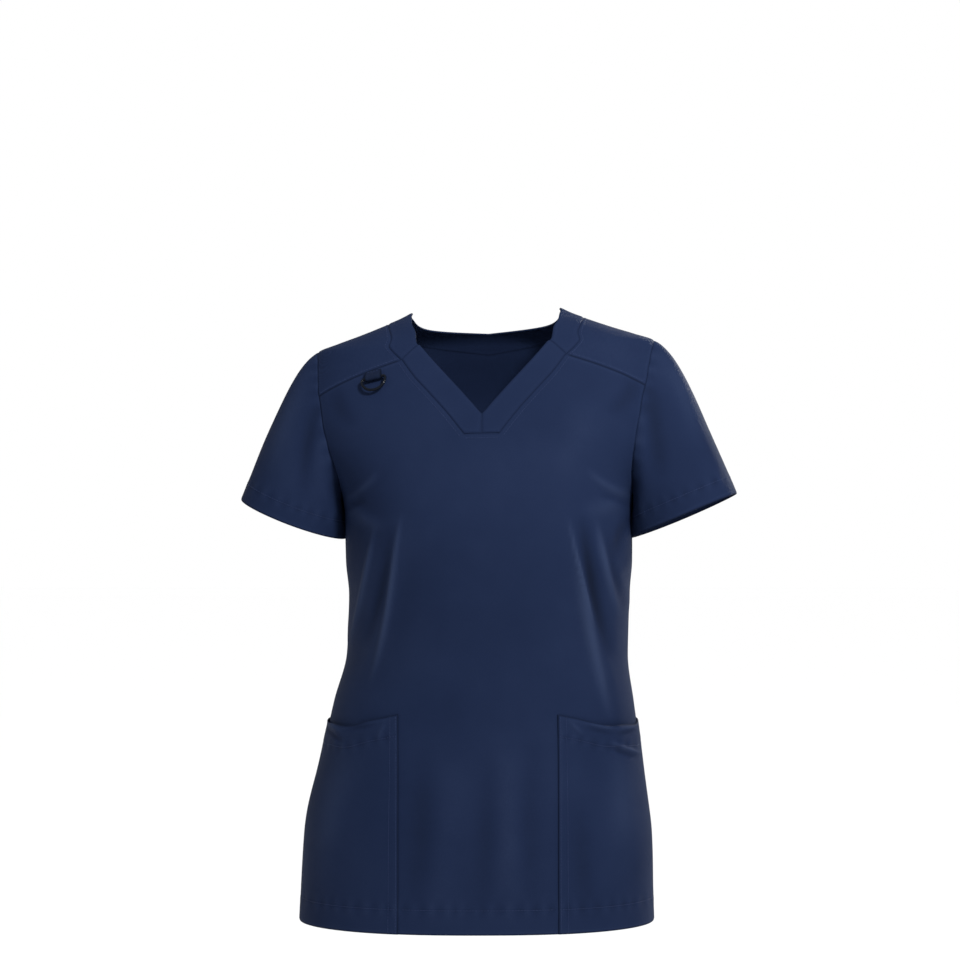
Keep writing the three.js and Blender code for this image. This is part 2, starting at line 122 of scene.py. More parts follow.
BODY = table("z half front back mid power", [
    [8, 62, 3, 3, 8, 2.0],
    [0, 78, 12, 14, 8, 2.0],
    [-6, 90, 25, 31, 8, 2.0],
    [-15, 113, 38, 46, 7, 2.0],
    [-23, 135, 46, 60, 7, 2.0],
    [-30, 156, 51, 66, 7, 2.0],
    [-38, 177, 55, 71, 6, 2.0],
    [-50, 184, 62, 76, 6, 2.0],
    [-65, 190, 71, 82, 6, 2.08],
    [-85, 194.5, 82, 89, 6, 2.15],
    [-111, 193, 94, 96, 5, 2.2],
    [-137, 184.5, 103, 100, 5, 2.25],
    [-160, 172, 110, 102, 5, 2.3],
    [-180, 160.5, 115, 102, 5, 2.35],
    [-197, 153.5, 119, 101, 5, 2.4],
    [-215, 151, 122, 98, 5, 2.4],
    [-232, 150.5, 124, 95, 5, 2.4],
    [-264, 150, 126, 87, 5, 2.4],
    [-300, 147, 127, 79, 5, 2.4],
    [-360, 148, 122, 74, 5, 2.4],
    [-411, 157.5, 121, 80, 5, 2.35],
    [-474, 169, 124, 95, 5, 2.3],
    [-548, 181, 130, 106, 5, 2.3],
    [-645, 185.5, 134, 108, 5, 2.3],
])
SWAY = table("z shift", [
    [0, 0],
    [-120, 0],
    [-200, 3],
    [-300, 3.4],
    [-360, 2],
    [-411, -1.5],
    [-474, -5],
    [-530, -8],
    [-645, -9.5],
])
# The chest turns and the shoulders tilt a little, in degrees, each between two heights
CHEST_TURN, TURN_FROM, TURN_TO = 2.7, -480, -200
SHOULDER_TILT, TILT_FROM, TILT_TO = 1.9, -260, -90
BUST = dict(high=8, wide=112, z=-238, tall=62)
HEM, UNDERARM, V_POINT, BACK_YOKE_SEAM = -640, -197, -111, -115
# The front's folds lie before this depth and the back's behind it. Below the chest the cloth is slack.
FACE_PARTS, SLACK_TOP, SLACK_FULL = 5, -60, -160
CLOTH, HEM_FOLD = 1.5, 25
# Small puckers along a stitched line: how far they reach, how high they are and how far apart
HEM_PUCKER = (7, 0.22, 17)
# Armhole: the height of its middle and half its own, how far it cuts into the front and the back past
# the side, in degrees, and where the yoke's seams meet it, in degrees from its top
HOLE = dict(middle=-117.5, high=79.5, front_right=30.5, front_left=34, back=28, yoke=67, back_yoke=88.2)
# Pocket: where its inner edge lies on either side, the mouth's height, dip and fall to the side seam, its
# cloth, how far it lies off the front, and how far the mouth gapes over what depth
POCKET = dict(right=-89, left=73.5, top=-418, dip=9, side_drop=11, cloth=1.4, clear=0.3, gape=2.2, mouth=55)
# Neck band, the finished edge and the seam: NECK runs from the shoulder to centre back, and VEE from the
# foot of the V up to the shoulder
NECK = table("run edge_turn edge_z seam_turn seam_z", [
    [0, 23.2, -36, 27.6, -51],
    [0.2, 34, -21, 40, -28.5],
    [0.36, 63, -5, 66, -14.5],
    [0.5, 90, 0, 90, -11],
    [0.64, 118, -5.5, 119, -16],
    [0.82, 150, -17, 151, -31],
    [1, 180, -22, 180, -44],
])
VEE = table("run edge_x edge_z seam_x seam_z", [
    [0, 8, -102, 18, -131],
    [0.25, 23, -85, 38, -106],
    [0.5, 39, -67.5, 56, -86],
    [0.75, 54, -51, 72, -68.5],
    [1, 66.9, -36, 84.9, -51],
])
# Folds: face -1 front and 1 back, both ends as seen from the front, sideways bow, half width
# and height, which is below zero for a trough
FOLDS = table("face x0 z0 x1 z1 bow wide high", [
    [-1, 84, -218, 132, -400, -5, 8.5, 2.6],
    [-1, 118, -226, 146, -318, -3, 9, 2.4],
    [-1, -84, -216, -126, -385, 6, 11, 2.8],
    [-1, -112, -230, -146, -352, 4, 10, 3.2],
    [-1, 112, -92, 70, -176, 8, 16, 1.8],
    [-1, 18, -430, 34, -620, 4, 20, 2.4],
    [-1, -30, -470, -44, -640, 2, 18, 2.2],
    [1, 104, -205, 34, -322, 12, 15, 2.8],
    [1, -96, -240, -28, -338, -9, 13, 2.8],
    [1, 70, -292, 110, -428, 6, 15, 2.6],
    [1, -58, -326, -104, -452, -9, 14, 2.9],
    [1, 40, -352, -52, -372, 5, 15, 2.4],
    [1, -30, -392, 62, -404, -5, 16, 1.8],
    [1, 20, -440, 40, -632, 6, 22, 3.0],
    [1, -44, -455, -66, -640, -4, 20, 2.6],
])
SMALL_FOLDS = table("face x0 z0 x1 z1 bow wide high", [
    [-1, 83, -216, 109, -330, -2, 2.0, 2.4],
    [-1, 90, -252, 133, -432, -5, 5.0, 2.2],
    [-1, 97, -214, 128, -366, -4, 6.5, -2.6],
    [-1, 112, -218, 136, -322, -3, 3.6, 2.3],
    [-1, 121, -226, 143, -318, -3, 5, -1.3],
    [-1, 150, -190, 96, -214, 5, 10, 1.0],
    [-1, 152, -214, 130, -262, -4, 6, -1.3],
    [-1, -82, -210, -120, -392, 4, 2.8, 2.3],
    [-1, -91, -222, -126, -352, 4, 5, -1.4],
    [-1, -110, -222, -144, -352, 3, 2.6, 2.1],
    [-1, -150, -196, -98, -230, -5, 8, 1.4],
    [-1, 6, -440, 2, -636, 5, 11, -0.8],
    [-1, 52, -440, 58, -636, -4, 12, -0.7],
    [-1, -58, -440, -66, -636, 4, 12, -0.7],
    [-1, 132, -440, 150, -560, 4, 14, 1.0],
    [-1, -134, -446, -160, -600, -5, 14, 1.0],
    [-1, 104, -500, 116, -636, -3, 10, -0.7],
    [-1, 146, -196, 104, -170, 3, 4, 1.1],
    [-1, 150, -208, 116, -196, -2, 4, -0.9],
    [-1, -148, -198, -108, -168, -4, 4, 1.2],
    [-1, -150, -210, -120, -200, 2, 4, -0.9],
    [-1, 160, -70, 128, -118, 6, 9, -0.9],
    [-1, -158, -74, -132, -122, -5, 9, -0.9],
    [1, 98, -216, 52, -292, 8, 5, 1.1],
    [1, -82, -262, -34, -334, -8, 5, 1.2],
    [1, 76, -318, 108, -410, 5, 5.5, 1.1],
    [1, -66, -346, -102, -446, -8, 6, 1.2],
    [1, 22, -356, -48, -374, 4, 6, 0.8],
    [1, 130, -180, 96, -232, 6, 5, 1.5],
    [1, -132, -176, -92, -226, -6, 5, 1.4],
    [1, 150, -318, 92, -336, 5, 7, 1.0],
    [1, -148, -352, -84, -384, -6, 8, 1.2],
    [1, 0, -270, 6, -420, 5, 24, -1.0],
    [1, 112, -120, 60, -190, 8, 10, 0.9],
    [1, -108, -122, -56, -186, -8, 10, 0.9],
    [1, 24, -450, 42, -628, 6, 9, -0.8],
    [1, -50, -460, -70, -628, -4, 9, -0.8],
])


def body(turn, z):
    """Places on the body's surface, before folds and pose."""
    a = np.radians(np.abs(turn))
    power = 2 / read(BODY, "power", "z", z)
    c = np.cos(a)
    depth = np.where(c > 0, read(BODY, "front", "z", z), read(BODY, "back", "z", z))
    x = read(BODY, "half", "z", z) * np.clip(np.sin(a), 0, 1) ** power
    y = read(BODY, "mid", "z", z) - np.sign(c) * depth * np.abs(c) ** power
    return np.stack([np.where(turn < 0, -x, x), y, z + 0 * x], -1)


def body_out(turn, z):
    """The way out of the body's surface."""
    side = np.where(turn < 0, -1.0, 1.0)
    around = body(turn + side, z) - body(turn - side, z)
    flat = np.stack([side, 0 * side, 0 * side], -1)
    around = np.where((np.abs(turn) < 1)[..., None], flat, around)
    around = np.where((np.abs(turn) > 179)[..., None], -flat, around)
    out = np.cross(around, body(turn, z + 1) - body(turn, z - 1)) * side[..., None]
    return out / np.linalg.norm(out, axis=-1, keepdims=True)


def turn_at(x, z):
    """The turn at which the front of the body lies at x."""
    share = np.minimum(1, np.abs(x) / read(BODY, "half", "z", z))
    return np.sign(x) * np.degrees(np.arcsin(share ** (read(BODY, "power", "z", z) / 2)))


def smoothstep(low, high, value):
    """0 below low and 1 above high, with a soft change between them."""
    t = np.clip((value - low) / (high - low), 0, 1)
    return t * t * (3 - 2 * t)


def one_fold(x, z, x0, z0, x1, z1, bow, wide, high):
    """Height of a fold that runs between two places and dies away towards both."""
    long = np.hypot(x1 - x0, z1 - z0)
    t = ((x - x0) * (x1 - x0) + (z - z0) * (z1 - z0)) / long ** 2
    arch = np.sin(np.pi * np.clip(t, 0, 1))
    off = ((x - x0) * (z1 - z0) - (z - z0) * (x1 - x0)) / long + bow * arch
    return high * np.exp(-(off / wide) ** 2) * arch


def folds_at(p, wide_share=1.0):
    """Height of the folds at places of the body. wide_share weighs the wide ones."""
    x, z = p[..., 0], p[..., 2]
    face = np.where(p[..., 1] < FACE_PARTS, -1, 1)
    total = 0.0 * x
    for folds, weight in ((FOLDS, wide_share), (SMALL_FOLDS, 1.0)):
        for fold_face, *fold in zip(*folds.values()):
            total += weight * (face == fold_face) * one_fold(x, z, *fold)
    return total


def fold_height(p):
    """How far the cloth stands off the body: folds, bust and slack."""
    x, z = p[..., 0], p[..., 2]
    bust = np.exp(-np.abs(x / BUST["wide"]) ** 5 - ((z - BUST["z"]) / BUST["tall"]) ** 2)
    slack = 0.5 * np.sin(x / 23 + 1.7 * np.sin(z / 61)) * np.sin(z / 47 + 0.6)
    slack += 0.3 * np.sin((x + z) / 31)
    ahead = p[..., 1] < FACE_PARTS
    return folds_at(p) + BUST["high"] * bust * ahead + slack * smoothstep(SLACK_TOP, SLACK_FULL, z)


def pose(p):
    """Turns the chest, tilts the shoulders and lets the waist and hem sway to one side."""
    turn = np.radians(CHEST_TURN) * smoothstep(TURN_FROM, TURN_TO, p[..., 2])
    tilt = np.tan(np.radians(SHOULDER_TILT)) * smoothstep(TILT_FROM, TILT_TO, p[..., 2])
    x = p[..., 0] * np.cos(turn) + p[..., 1] * np.sin(turn)
    y = p[..., 1] * np.cos(turn) - p[..., 0] * np.sin(turn)
    return np.stack([x + read(SWAY, "shift", "z", p[..., 2]), y, p[..., 2] + x * tilt], -1)


def cloth(turn, z, lift=0.0):
    """Places of the posed cloth, lifted off the panels, with the way out of the cloth."""
    turn, z = np.broadcast_arrays(np.asarray(turn, dtype=float), np.asarray(z, dtype=float))
    start, out = body(turn, z), body_out(turn, z)
    lifted = start + out * np.asarray(fold_height(start) + lift)[..., None]
    points = pose(lifted)
    ways = pose(lifted + out) - points
    return points, ways / np.linalg.norm(ways, axis=-1, keepdims=True)


def even(start, stop, step):
    """Lines one step apart, a share of the whole, and closer ones where the cloth rolls in at the edges."""
    count = max(2, int(round(1 / step)))
    inner = np.array([0.12, 0.3, 0.6]) / count
    shares = np.unique(np.concatenate([np.linspace(0, 1, count + 1), inner, 1 - inner]))
    return start + (stop - start) * shares


def armhole(angle, side=1):
    """Turn and height of the armhole's edge, by the angle from its top, which is below 0 at the back."""
    front = HOLE["front_left" if side > 0 else "front_right"]
    reach = np.where(angle > 0, -front, HOLE["back"]) * np.abs(np.sin(np.radians(angle)))
    return 90 + reach, HOLE["middle"] + HOLE["high"] * np.cos(np.radians(angle))


def vee(kind, run):
    """Turn and height along the V's edge or seam."""
    z = read(VEE, kind + "_z", "run", run)
    turn = turn_at(read(VEE, kind + "_x", "run", run), z)
    last = np.asarray(run) >= 1
    return np.where(last, NECK[kind + "_turn"][0], turn), np.where(last, NECK[kind + "_z"][0], z)


def pocket_share(z, side):
    """Share of the way round to the side at which a pocket's inner edge lies."""
    level = np.minimum(z, POCKET["top"])
    x = POCKET["right" if side < 0 else "left"] - read(SWAY, "shift", "z", level)
    return np.abs(turn_at(x, level)) / 90


def on_cloth(turn, z, lift=0.0):
    """Places alone, without the ways out."""
    return cloth(turn, z, lift)[0]


def arc(points):
    """Length along a line of places, at each of them."""
    return np.concatenate([[0], np.cumsum(np.linalg.norm(np.diff(points, axis=0), axis=1))])


def near(points, line):
    """For each point, how far the line is and how far along it the nearest place lies."""
    tree = KDTree(len(line))
    for i, place in enumerate(line):
        tree.insert(place, i)
    tree.balance()
    found = [tree.find(p)[1:] for p in points]
    along = arc(line)
    return np.array([f[1] for f in found]), along[[f[0] for f in found]]


def mesh_piece(name, places, faces):
    """A piece from places in millimetres."""
    made = bpy.data.meshes.new(name)
    made.from_pydata((np.asarray(places) * MM).tolist(), [], faces)
    made.shade_smooth()
    piece = bpy.data.objects.new(name, made)
    bpy.context.scene.collection.objects.link(piece)
    return piece


def facing(side, *grid):
    """The rows of a grid in the order that turns its faces outwards on either side."""
    return grid if side > 0 else tuple(layer[:, ::-1] for layer in grid)


# An edge rolls in over this reach. Every edge and seam gets a painted line of shade, with a painted
# highlight line beside it.
ROLL_REACH, SEAM_HIGHLIGHT, HIGHLIGHT_AT, HIGHLIGHT_REACH = 0.9, 0.2, 2.8, 1.2
# Near the quiet lines the painted edge shade is cut to this share
QUIET_REACH, QUIET_SHARE = 4, 0.35
# A row of stitches pulls the cloth in, and shade is painted along it
PULL, PULL_REACH, PULL_SHADE, SHADE_REACH = 0.35, 1.0, 0.5, 1.1
# Places nearer than 0.02 mm to each other are sewn into one
WELD = 50


def sew_piece(name, grids, thickness, roll=0.5, seam=2.2, quiet=(), gathers=(), bands=()):
    """A closed shell of cloth from grids of (points, ways out, weave places). Its edges roll in.
    seam is how much shade is painted along the edges, with a painted highlight line beside it, and less so
    along the quiet lines.
    gathers are (line, reach, height, wave) of small puckers beside a stitched line, with painted highlight
    on their crests and painted shade in their hollows and along the stitches, and bands are (line, width,
    height) of doubled cloth along an edge."""
    points = np.concatenate([g[0].reshape(-1, 3) for g in grids])
    outs = np.concatenate([g[1].reshape(-1, 3) for g in grids])
    weave = np.concatenate([g[2].reshape(-1, 3) for g in grids])
    quads = []
    base = 0
    for grid in grids:
        rows, columns = grid[0].shape[:2]
        index = base + np.arange(rows * columns).reshape(rows, columns)
        corners = [index[:-1, :-1], index[:-1, 1:], index[1:, 1:], index[1:, :-1]]
        quads.append(np.stack(corners, -1).reshape(-1, 4))
        base += rows * columns
    keys = np.round(points * WELD).astype(np.int64)
    _, first, same = np.unique(keys, axis=0, return_index=True, return_inverse=True)
    same = same.reshape(-1)
    points, outs, weave = points[first], outs[first], weave[first]
    faces = same[np.concatenate(quads)]
    faces = faces[[len(set(face)) > 2 for face in faces.tolist()]]
    sides = {}
    for face in faces.tolist():
        for i, j in zip(face, face[1:] + face[:1]):
            if i != j:
                sides[i, j] = True
    rim = [(i, j) for i, j in sides if (j, i) not in sides]
    edge = np.unique(np.array(rim).reshape(-1))
    gap, _ = near(points, points[edge])
    height = -roll * np.exp(-(gap / ROLL_REACH) ** 2)
    # Painted shade along every edge and seam, weaker near the quiet lines, with a painted highlight line
    # beside it
    dark = np.full(len(points), seam)
    for line in quiet:
        dark[near(points, line)[0] < QUIET_REACH] *= QUIET_SHARE
    painted_highlight = SEAM_HIGHLIGHT * np.exp(-((gap - HIGHLIGHT_AT) / HIGHLIGHT_REACH) ** 2)
    weave[:, 2] -= dark * (np.exp(-gap ** 2) - painted_highlight)
    for line, width, rise in bands:
        off, _ = near(points, line)
        height += rise * (1 - smoothstep(width - 1.0, width + 1.2, off))
    for line, reach, rise, wave in gathers:
        off, along = near(points, line)
        swell = np.sin(2 * np.pi * along / wave + 1.3 * np.sin(along / 37) + 0.8 * np.sin(along / 13))
        pucker = rise * swell * np.exp(-(off / reach) ** 2)
        height += pucker - PULL * np.exp(-(off / PULL_REACH) ** 2)
        # Painted highlight on the puckers' crests, painted shade in their hollows and along the stitched
        # groove
        weave[:, 2] += 2 * pucker - PULL_SHADE * np.exp(-(off / SHADE_REACH) ** 2)
    outer = points + outs * height[:, None]
    inner = points - outs * thickness
    count = len(points)
    solid = faces.tolist() + [[v + count for v in face[::-1]] for face in faces.tolist()]
    solid += [[j, i, i + count, j + count] for i, j in rim]
    solid = [list(dict.fromkeys(face)) for face in solid]
    piece = mesh_piece(name, np.concatenate([outer, inner]), solid)
    piece.data.set_sharp_from_angle(angle=np.radians(55))
    grain = piece.data.attributes.new("weave", "FLOAT_VECTOR", "POINT")
    grain.data.foreach_set("vector", np.concatenate([weave, weave]).reshape(-1) * MM)
    piece.data.validate()
    return piece


class Value:
    """One number of a shader. Sums and products of such numbers add their Math nodes."""

    def __init__(self, socket):
        self.socket = socket
        self.tree = socket.id_data

    def math(self, operation, *others):
        node = self.tree.nodes.new("ShaderNodeMath")
        node.operation = operation
        for place, other in zip(node.inputs, (self,) + others):
            if isinstance(other, Value):
                self.tree.links.new(other.socket, place)
            else:
                place.default_value = other
        return Value(node.outputs[0])

    def __add__(self, other):
        return self.math("ADD", other)

    def __radd__(self, other):
        return self.math("ADD", other)

    def __sub__(self, other):
        return self.math("SUBTRACT", other)

    def __rsub__(self, other):
        node = self.tree.nodes.new("ShaderNodeMath")
        node.operation = "SUBTRACT"
        node.inputs[0].default_value = other
        self.tree.links.new(self.socket, node.inputs[1])
        return Value(node.outputs[0])

    def __mul__(self, other):
        return self.math("MULTIPLY", other)

    def __rmul__(self, other):
        return self.math("MULTIPLY", other)

    def wave(self):
        return self.math("SINE") * 0.5 + 0.5


class Finish:
    """A material and its nodes."""

    def __init__(self, name):
        self.material = bpy.data.materials.new(name)
        self.material.use_nodes = True
        self.tree = self.material.node_tree
        self.surface = self.tree.nodes["Principled BSDF"]

    def node(self, kind, settings, sockets):
        """Any node, its settings first, then the values or links of its sockets."""
        made = self.tree.nodes.new(kind)
        for name, value in settings.items():
            if name == "stops":
                for stop, (at, shade) in zip(made.color_ramp.elements, value):
                    stop.position = at
                    stop.color = shade
            else:
                setattr(made, name, value)
        for name, value in sockets.items():
            self.put(made.inputs[name], value)
        return made

    def put(self, socket, value):
        if isinstance(value, Value):
            self.tree.links.new(value.socket, socket)
        elif isinstance(value, bpy.types.NodeSocket):
            self.tree.links.new(value, socket)
        else:
            socket.default_value = value


def colour(red, green, blue):
    """Display colour 0 to 255 as the linear colour of a socket."""
    shares = np.array([red, green, blue]) / 255
    linear = np.where(shares <= 0.04045, shares / 12.92, ((shares + 0.055) / 1.055) ** 2.4)
    return (*linear.tolist(), 1.0)


# Ribs and weft of the twill, apart, and how deep they are
RIB, WEFT, TWILL_RELIEF = 0.62, 0.47, 0.12


def twill(name, base, light, dark):
    """Fine navy twill: slanting ribs crossed by the weft, slightly uneven in dye, with highlight and shade
    painted into its colour from the weave attribute's third value.
    """
    finish = Finish(name)
    place = finish.node("ShaderNodeAttribute", {"attribute_name": "weave"}, {})
    split = finish.node("ShaderNodeSeparateXYZ", {}, {"Vector": place.outputs["Vector"]})
    across, along, painted_light = (Value(split.outputs[axis]) for axis in "XYZ")
    rib = ((across * 0.9 + along) * (2 * np.pi / (RIB * MM))).wave()
    weft = ((along * 0.55 - across) * (2 * np.pi / (WEFT * MM))).wave()
    spot = finish.node("ShaderNodeTexCoord", {}, {}).outputs["Object"]
    cloud = Value(finish.node("ShaderNodeTexNoise", {}, {
        "Vector": spot, "Scale": 9.0, "Detail": 3.0, "Roughness": 0.55}).outputs["Fac"])
    slub = Value(finish.node("ShaderNodeTexNoise", {}, {
        "Vector": place.outputs["Vector"], "Scale": 900.0, "Detail": 2.0,
        "Roughness": 0.6}).outputs["Fac"])
    height = rib * (0.65 + weft * 0.35) + slub * 0.5
    # Tone: uneven dye, ribs and slubs, plus highlight and shade painted from the folds, puckers and seams
    tone = (cloud - 0.5) * 0.35 + (rib - 0.5) * 0.14 + (slub - 0.5) * 0.25 + painted_light * 190 + 0.5
    # The ramp runs from the dark colour, for painted shade and darker dye, through the base to the light
    # colour, for painted highlight and lighter dye
    shade = finish.node("ShaderNodeValToRGB", {
        "stops": [(0.0, dark), (1.0, light)]}, {"Fac": tone})
    middle = shade.color_ramp.elements.new(0.5)
    middle.color = base
    bump = finish.node("ShaderNodeBump", {}, {
        "Strength": 0.45, "Distance": TWILL_RELIEF * MM, "Height": height})
    surface = finish.surface
    finish.put(surface.inputs["Base Color"], shade.outputs["Color"])
    finish.put(surface.inputs["Roughness"], 0.86 - cloud * 0.12 - rib * 0.06)
    finish.put(surface.inputs["Normal"], bump.outputs["Normal"])
    surface.inputs["Sheen Weight"].default_value = 0.012
    surface.inputs["Sheen Roughness"].default_value = 0.4
    surface.inputs["Sheen Tint"].default_value = colour(70, 95, 160)
    surface.inputs["Specular IOR Level"].default_value = 0.03
    return finish.material


# Navy base colour, a lighter one for painted highlight and a darker one for painted shade
NAVY = twill("navy_twill", colour(15, 24, 45), colour(30, 39, 60), colour(7, 13, 27))

foot_turn, foot_z = vee("seam", 0.0)
CHEST_ROWS, LEG_ROWS, FOOT_COLUMNS = 6, 5, 6
# The chest's rows rise late towards the armhole, and straighten along the V
ROW_RISE = 1.6
# How much of the wide folds' height is painted into the weave colour, as highlight on ridges and shade in
# troughs
WIDE_FOLD_PAINTED_LIGHT = 0.2
front_angles = np.linspace(180, HOLE["yoke"], CHEST_ROWS + LEG_ROWS + 1)
foot_angle = front_angles[CHEST_ROWS]
foot_shares = {side: float(foot_turn / armhole(foot_angle, side)[0]) for side in (-1, 1)}


def grain_of(points, painted_light=0.0):
    """Places on the cloth for its weave, length along each row and height, and the painted light: the
    folds' height, painted as highlight on ridges and shade in troughs.
    """
    steps = np.linalg.norm(np.diff(points, axis=1), axis=2)
    across = np.concatenate([np.zeros((len(points), 1)), np.cumsum(steps, axis=1)], axis=1)
    return np.stack([across, points[..., 2], painted_light + 0 * across], -1)


def front_columns(z, side):
    """Shares of the turn from centre front to the side: one line follows the pocket's inner edge."""
    edge, foot_share = pocket_share(z, side), foot_shares[side]
    inner = foot_share + (edge[:, None] - foot_share) * np.linspace(0, 1, 36)
    outer = edge[:, None] + (1 - edge[:, None]) * even(0, 1, 1 / 48)[1:]
    centre = foot_share * np.linspace(0, 1, FOOT_COLUMNS + 1)[:-1]
    return np.concatenate([np.broadcast_to(centre, (len(z), FOOT_COLUMNS)), inner, outer], axis=1)


front_grids = []
for side in (-1, 1):
    level = even(HEM, UNDERARM, 1 / 190)
    share = front_columns(level, side)
    turns, heights = 90 * share, np.broadcast_to(level[:, None], share.shape)
    top_share = share[-1]
    part = np.linspace(0, 1, 24)[1:]
    hole_turn, hole_z = armhole(180 + (foot_angle - 180) * part, side)
    centre_z = UNDERARM + (foot_z - UNDERARM) * part
    turns = np.concatenate([turns, hole_turn[:, None] * top_share])
    heights = np.concatenate([
        heights, centre_z[:, None] + (hole_z - centre_z)[:, None] * top_share ** ROW_RISE])
    points, ways = cloth(side * turns, heights)
    # The folds' height, with the wide ones weighed less, is painted into the weave colour: highlight on
    # ridges, shade in troughs
    weave = grain_of(points, folds_at(body(side * turns, heights), WIDE_FOLD_PAINTED_LIGHT))
    weave[..., 0] *= side
    start = weave[-1, FOOT_COLUMNS, 0]
    run = even(0, 1, 1 / 34)
    inner_turn, inner_z = vee("seam", run)
    outer_turn, outer_z = armhole(foot_angle + (HOLE["yoke"] - foot_angle) * run, side)
    across = (top_share[FOOT_COLUMNS:] - foot_shares[side]) / (1 - foot_shares[side])
    leg_turn = inner_turn[:, None] + (outer_turn - inner_turn)[:, None] * across
    leg_rise = ROW_RISE - (ROW_RISE - 1) * run[:, None]
    leg_z = inner_z[:, None] + (outer_z - inner_z)[:, None] * across ** leg_rise
    leg_turn[0], leg_z[0] = turns[-1, FOOT_COLUMNS:], heights[-1, FOOT_COLUMNS:]
    leg_points, leg_ways = cloth(side * leg_turn, leg_z)
    # Painted highlight and shade from the folds, as on the chest
    leg_weave = grain_of(leg_points, folds_at(body(side * leg_turn, leg_z), WIDE_FOLD_PAINTED_LIGHT))
    beside_foot = np.abs(leg_points[:, :1, 0] - leg_points[0, 0, 0])
    leg_weave[..., 0] = side * (leg_weave[..., 0] + beside_foot) + start
    front_grids += [facing(side, points, ways, weave), facing(side, leg_points, leg_ways, leg_weave)]

seam_turn, seam_z = vee("seam", np.linspace(0, 1, 120))
foot = np.linspace(-seam_turn[0], seam_turn[0], 40)
vee_line = np.concatenate([
    on_cloth(-seam_turn[::-1], seam_z[::-1]), on_cloth(foot, 0 * foot + seam_z[0]),
    on_cloth(seam_turn, seam_z)])
all_round = np.linspace(-90, 90, 400)
front_hem = on_cloth(all_round, HEM)
front_hem_stitch = on_cloth(all_round, HEM + HEM_FOLD)
front = sew_piece(
    "front_panel", front_grids, CLOTH, quiet=[vee_line],
    gathers=[(front_hem_stitch, *HEM_PUCKER)],
    bands=[(front_hem, HEM_FOLD, 0.25)],
)
front.data.materials.append(NAVY)
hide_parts("front")
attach(front, "garment")


# Back panel: one plain piece of the same twill up to the level seam of the yoke. It has no darts, is
# sewn to the front down both sides, and creases a little in the small of the back.
# Its folds' highlight and shade are painted into the weave colour more weakly than the front's
BACK_PAINTED_LIGHT = 0.6
back_level = even(HEM, UNDERARM, 1 / 150)
back_turn = np.full(len(back_level), 90.0)
back_hole = armhole(-180 + (180 - HOLE["back_yoke"]) * even(0, 1, 1 / 34)[1:])
back_turn = np.concatenate([back_turn, back_hole[0]])
back_level = np.concatenate([back_level, back_hole[1]])
share = even(-1, 1, 1 / 130)
away = 180 - (180 - back_turn[:, None]) * np.abs(share)
turns, heights = np.broadcast_arrays(np.where(share < 0, away, -away), back_level[:, None])
points, ways = cloth(turns, heights)
# Painted highlight on the back's fold ridges and painted shade in its troughs
back_painted_fold_light = BACK_PAINTED_LIGHT * folds_at(body(turns, heights), WIDE_FOLD_PAINTED_LIGHT)
back_round = np.concatenate([np.linspace(90, 180, 200), np.linspace(-180, -90, 200)])
back_hem = on_cloth(back_round, HEM)
back_hem_stitch = on_cloth(back_round, HEM + HEM_FOLD)
back = sew_piece(
    "back_panel", [(points, ways, grain_of(points, back_painted_fold_light))], CLOTH,
    gathers=[(back_hem_stitch, *HEM_PUCKER)],
    bands=[(back_hem, HEM_FOLD, 0.25)],
)
back.data.materials.append(NAVY)
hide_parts("back")
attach(back, "garment")


# Yoke: one piece of the same twill over both shoulders and across the back. It is sewn to the front
# and the back panel, and runs from the neck band to the armholes.
def neck(kind, run):
    """Turn and height along the neck band's edge or seam."""
    return read(NECK, kind + "_turn", "run", run), read(NECK, kind + "_z", "run", run)


corner_turn = float(armhole(-HOLE["back_yoke"])[0])
ahead, rear, behind = even(0, 1, 1 / 30), np.linspace(0, 1, 40)[1:], np.linspace(0, 1, 44)[1:]
yoke_run = np.concatenate([0.5 * ahead, 0.5 + 0.24 * rear, 0.74 + 0.26 * behind])


def yoke_place(side, share):
    """Turns and heights of the yoke's lines at shares of the way out from the neck band."""
    front_turn, front_z = armhole(HOLE["yoke"] * (1 - ahead), side)
    rear_turn, rear_z = armhole(-HOLE["back_yoke"] * rear, side)
    seam_turn, seam_z = neck("seam", yoke_run)
    outer_turn = np.concatenate([front_turn, rear_turn, corner_turn + (180 - corner_turn) * behind])
    outer_z = np.concatenate([front_z, rear_z, np.full(len(behind), float(BACK_YOKE_SEAM))])
    return seam_turn + (outer_turn - seam_turn) * share, seam_z + (outer_z - seam_z) * share


yoke_grids = []
for side in (-1, 1):
    turns, heights = yoke_place(side, even(0, 1, 1 / 36)[::-1, None])
    points, ways = cloth(side * turns, heights)
    weave = np.stack([points[..., 0], points[..., 1] - points[..., 2] * 0.8, 0 * points[..., 0]], -1)
    yoke_grids.append(facing(side, points, ways, weave))
neck_turn, neck_z = neck("seam", np.linspace(0, 1, 300))
neck_line = np.concatenate([on_cloth(-neck_turn, neck_z), on_cloth(neck_turn, neck_z)])
yoke = sew_piece("yoke", yoke_grids, CLOTH, quiet=[neck_line])
yoke.data.materials.append(NAVY)
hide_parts("yoke")
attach(yoke, "garment")


